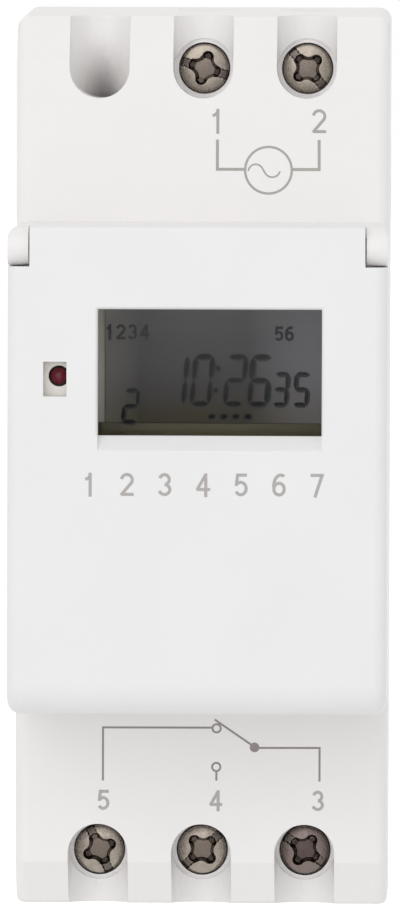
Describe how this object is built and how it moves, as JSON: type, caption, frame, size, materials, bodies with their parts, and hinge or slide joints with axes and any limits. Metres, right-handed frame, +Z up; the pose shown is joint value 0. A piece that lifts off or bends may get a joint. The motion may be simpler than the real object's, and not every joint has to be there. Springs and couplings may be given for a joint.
{
  "type": "rail mounted digital time switch",
  "caption": "Modular electronic time switch for a 35 mm rail: flip cover over display and keys, clamp terminals, sprung rail latch.",
  "frame": {"origin": "middle of the seat that rests on the front face of the rail", "axes": "+X along the rail to the right, +Y into the wall, +Z up; the cover faces -Y"},
  "size_m": [0.036, 0.065, 0.0878],
  "materials": {
    "white_moulding": "fine satin moulding",
    "cover_white": "fine satin moulding",
    "latch_plastic": "satin",
    "key_plastic": "satin",
    "clear_lens": "polished clear plastic",
    "display_glass": "dark olive",
    "polariser_film": "smooth dark film",
    "reflector_film": "brushed",
    "black_plastic": "matte",
    "black_rubber": "striped rubber",
    "green_board": "lacquered",
    "epoxy_black": "poured resin",
    "lamp_red": "deep red lens",
    "steel": "plated",
    "screw_steel": "dark nickel plate",
    "cage_steel": "zinc plate",
    "plated_brass": "tinned brass",
    "copper_winding": "enamelled copper",
    "capacitor_yellow": "box capacitor",
    "can_sleeve": "shrink sleeve",
    "varistor_blue": "dipped",
    "resistor_grey": "cement coat",
    "relay_plastic": "moulded",
    "ribbon_grey": "flat ribbon"
  },
  "bodies": {
    "case": {"front_housing": "white_moulding", "rear_housing": "white_moulding", "latch_spring": "steel", "display_lens": "clear_lens", "display_polariser": "polariser_film", "display_glass": "display_glass", "display_reflector": "reflector_film", "display_frame": "black_plastic", "contact_strips": "black_rubber", "display_board": "green_board", "board_screws": "steel", "status_lamp": "lamp_red", "key_switches": "black_plastic", "controller_chip": "epoxy_black", "clock_crystal": "steel", "backup_cell": "steel", "cell_tabs": "steel", "ribbon_cable": "ribbon_grey", "power_board": "green_board", "film_capacitor": "capacitor_yellow", "smoothing_capacitor": "can_sleeve", "surge_varistor": "varistor_blue", "rectifier_diodes": "black_plastic", "dropper_resistor": "resistor_grey", "relay_cover": "relay_plastic", "relay_base": "black_plastic", "relay_yoke": "steel", "relay_core": "steel", "relay_bobbin": "black_plastic", "relay_coil": "copper_winding", "relay_coil_pins": "steel", "relay_contacts": "plated_brass", "terminal_bar_1": "plated_brass", "terminal_bar_2": "plated_brass", "terminal_bar_3": "plated_brass", "terminal_bar_4": "plated_brass", "terminal_bar_5": "plated_brass"},
    "cover": {"flip_cover": "cover_white"},
    "latch": {"rail_latch": "latch_plastic"},
    "relay_rocker": {"relay_armature": "steel"},
    "key_clock": {"key_clock": "key_plastic"},
    "key_program": {"key_program": "key_plastic"},
    "key_manual": {"key_manual": "key_plastic"},
    "key_cancel": {"key_cancel": "key_plastic"},
    "key_day": {"key_day": "key_plastic"},
    "key_hour": {"key_hour": "key_plastic"},
    "key_minute": {"key_minute": "key_plastic"},
    "key_reset": {"key_reset": "key_plastic"},
    "screw_1": {"terminal_screw_1": "screw_steel"},
    "cage_1": {"terminal_cage_1": "cage_steel"},
    "screw_2": {"terminal_screw_2": "screw_steel"},
    "cage_2": {"terminal_cage_2": "cage_steel"},
    "screw_3": {"terminal_screw_3": "screw_steel"},
    "cage_3": {"terminal_cage_3": "cage_steel"},
    "screw_4": {"terminal_screw_4": "screw_steel"},
    "cage_4": {"terminal_cage_4": "cage_steel"},
    "screw_5": {"terminal_screw_5": "screw_steel"},
    "cage_5": {"terminal_cage_5": "cage_steel"}
  },
  "joints": [
    {"name": "cover_hinge", "type": "hinge", "parent": "case", "child": "cover", "pos_m": [0, -0.0573, 0.0213], "axis": [-1, 0, 0], "range_deg": [0, 150]},
    {"name": "latch_slide", "type": "slide", "parent": "case", "child": "latch", "axis": [0, 0, -1], "range_m": [0, 0.003], "stiffness_N_per_m": 1200, "springref_m": -0.002, "deforming": ["latch_spring"]},
    {"name": "relay_pull_in", "type": "hinge", "parent": "case", "child": "relay_rocker", "pos_m": [0.005, -0.023, 0.01375], "axis": [0, -1, 0], "range_deg": [0, 2.4], "stiffness_Nm_per_rad": 0.05, "springref_deg": -3.44},
    {"name": "key_clock_press", "type": "slide", "parent": "case", "child": "key_clock", "axis": [0, 1, 0], "range_m": [0, 0.0006], "stiffness_N_per_m": 800, "springref_m": -0.001},
    {"name": "key_program_press", "type": "slide", "parent": "case", "child": "key_program", "axis": [0, 1, 0], "range_m": [0, 0.0006], "stiffness_N_per_m": 800, "springref_m": -0.001},
    {"name": "key_manual_press", "type": "slide", "parent": "case", "child": "key_manual", "axis": [0, 1, 0], "range_m": [0, 0.0006], "stiffness_N_per_m": 800, "springref_m": -0.001},
    {"name": "key_cancel_press", "type": "slide", "parent": "case", "child": "key_cancel", "axis": [0, 1, 0], "range_m": [0, 0.0006], "stiffness_N_per_m": 800, "springref_m": -0.001},
    {"name": "key_day_press", "type": "slide", "parent": "case", "child": "key_day", "axis": [0, 1, 0], "range_m": [0, 0.0006], "stiffness_N_per_m": 800, "springref_m": -0.001},
    {"name": "key_hour_press", "type": "slide", "parent": "case", "child": "key_hour", "axis": [0, 1, 0], "range_m": [0, 0.0006], "stiffness_N_per_m": 800, "springref_m": -0.001},
    {"name": "key_minute_press", "type": "slide", "parent": "case", "child": "key_minute", "axis": [0, 1, 0], "range_m": [0, 0.0006], "stiffness_N_per_m": 800, "springref_m": -0.001},
    {"name": "key_reset_press", "type": "slide", "parent": "case", "child": "key_reset", "axis": [0, 1, 0], "range_m": [0, 0.0006], "stiffness_N_per_m": 800, "springref_m": -0.001},
    {"name": "screw_turn_1", "type": "hinge", "parent": "case", "child": "screw_1", "pos_m": [0, -0.033, 0.038], "axis": [0, 1, 0], "range_deg": [0, 2263]},
    {"name": "cage_lift_1", "type": "slide", "parent": "case", "child": "cage_1", "axis": [0, -1, 0], "range_m": [0, 0.0044]},
    {"name": "screw_turn_2", "type": "hinge", "parent": "case", "child": "screw_2", "pos_m": [0.01, -0.033, 0.038], "axis": [0, 1, 0], "range_deg": [0, 2263]},
    {"name": "cage_lift_2", "type": "slide", "parent": "case", "child": "cage_2", "axis": [0, -1, 0], "range_m": [0, 0.0044]},
    {"name": "screw_turn_3", "type": "hinge", "parent": "case", "child": "screw_3", "pos_m": [0.01, -0.033, -0.038], "axis": [0, 1, 0], "range_deg": [0, 2263]},
    {"name": "cage_lift_3", "type": "slide", "parent": "case", "child": "cage_3", "axis": [0, -1, 0], "range_m": [0, 0.0044]},
    {"name": "screw_turn_4", "type": "hinge", "parent": "case", "child": "screw_4", "pos_m": [0, -0.033, -0.038], "axis": [0, 1, 0], "range_deg": [0, 2263]},
    {"name": "cage_lift_4", "type": "slide", "parent": "case", "child": "cage_4", "axis": [0, -1, 0], "range_m": [0, 0.0044]},
    {"name": "screw_turn_5", "type": "hinge", "parent": "case", "child": "screw_5", "pos_m": [-0.01, -0.033, -0.038], "axis": [0, 1, 0], "range_deg": [0, 2263]},
    {"name": "cage_lift_5", "type": "slide", "parent": "case", "child": "cage_5", "axis": [0, -1, 0], "range_m": [0, 0.0044]}
  ],
  "couplings": [
    {"joint": "screw_turn_1", "follows": "cage_lift_1", "rad_per_m": 8976},
    {"joint": "screw_turn_2", "follows": "cage_lift_2", "rad_per_m": 8976},
    {"joint": "screw_turn_3", "follows": "cage_lift_3", "rad_per_m": 8976},
    {"joint": "screw_turn_4", "follows": "cage_lift_4", "rad_per_m": 8976},
    {"joint": "screw_turn_5", "follows": "cage_lift_5", "rad_per_m": 8976}
  ]
}
